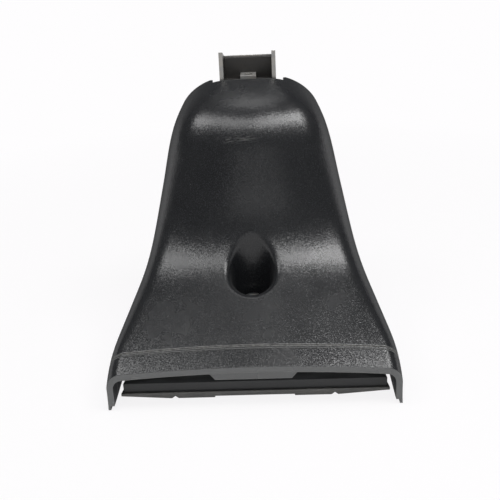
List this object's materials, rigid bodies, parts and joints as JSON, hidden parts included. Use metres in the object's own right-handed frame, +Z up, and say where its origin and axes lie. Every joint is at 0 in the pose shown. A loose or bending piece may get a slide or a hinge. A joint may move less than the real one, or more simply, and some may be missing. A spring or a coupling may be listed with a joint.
{
  "type": "roof bar foot",
  "caption": "Roof bar foot: a black moulded hood with a flared skirt and key pocket over a steel bracket, an upright steel post and a rubber sole.",
  "frame": {"origin": "middle of the foot's rectangle on the roof, on the underside of the sole", "axes": "+Z up from the roof, -Y towards the flared front, +X to the right seen from the front"},
  "size_m": [0.13, 0.13, 0.1353],
  "materials": {
    "grained_cover_plastic": "moulded, fine grain",
    "black_carrier_plastic": "moulded, smooth",
    "black_insert_plastic": "moulded, smooth",
    "sole_rubber": "moulded, matt",
    "zinc_plated_sheet": "zinc plated, satin",
    "zinc_plated_fastener": "zinc plated",
    "stainless_screw": "turned, plain"
  },
  "bodies": {
    "foot": {"cover": "grained_cover_plastic", "shoe": "black_carrier_plastic", "roof_pad": "sole_rubber", "base_bracket": "zinc_plated_sheet", "post": "zinc_plated_sheet", "nut_holder": "black_insert_plastic", "bar_nut": "zinc_plated_fastener", "holder_pin": "zinc_plated_fastener", "screw_bush": "black_insert_plastic", "post_bolts": "zinc_plated_fastener", "post_nuts": "zinc_plated_fastener", "post_washers": "zinc_plated_fastener", "post_spacers": "zinc_plated_fastener", "cover_screws": "zinc_plated_fastener", "shoe_screws": "zinc_plated_fastener"},
    "washer": {"screw_washer": "stainless_screw"},
    "screw": {"fixing_screw": "stainless_screw"}
  },
  "joints": [
    {"name": "screw_drop", "type": "slide", "parent": "foot", "child": "washer", "axis": [0, 0, 1], "range_m": [-0.0093, 0.008]},
    {"name": "screw_turn", "type": "hinge", "parent": "washer", "child": "screw", "pos_m": [0, -0.02, 0.0255], "axis": [0, 0, 1], "continuous": true}
  ]
}
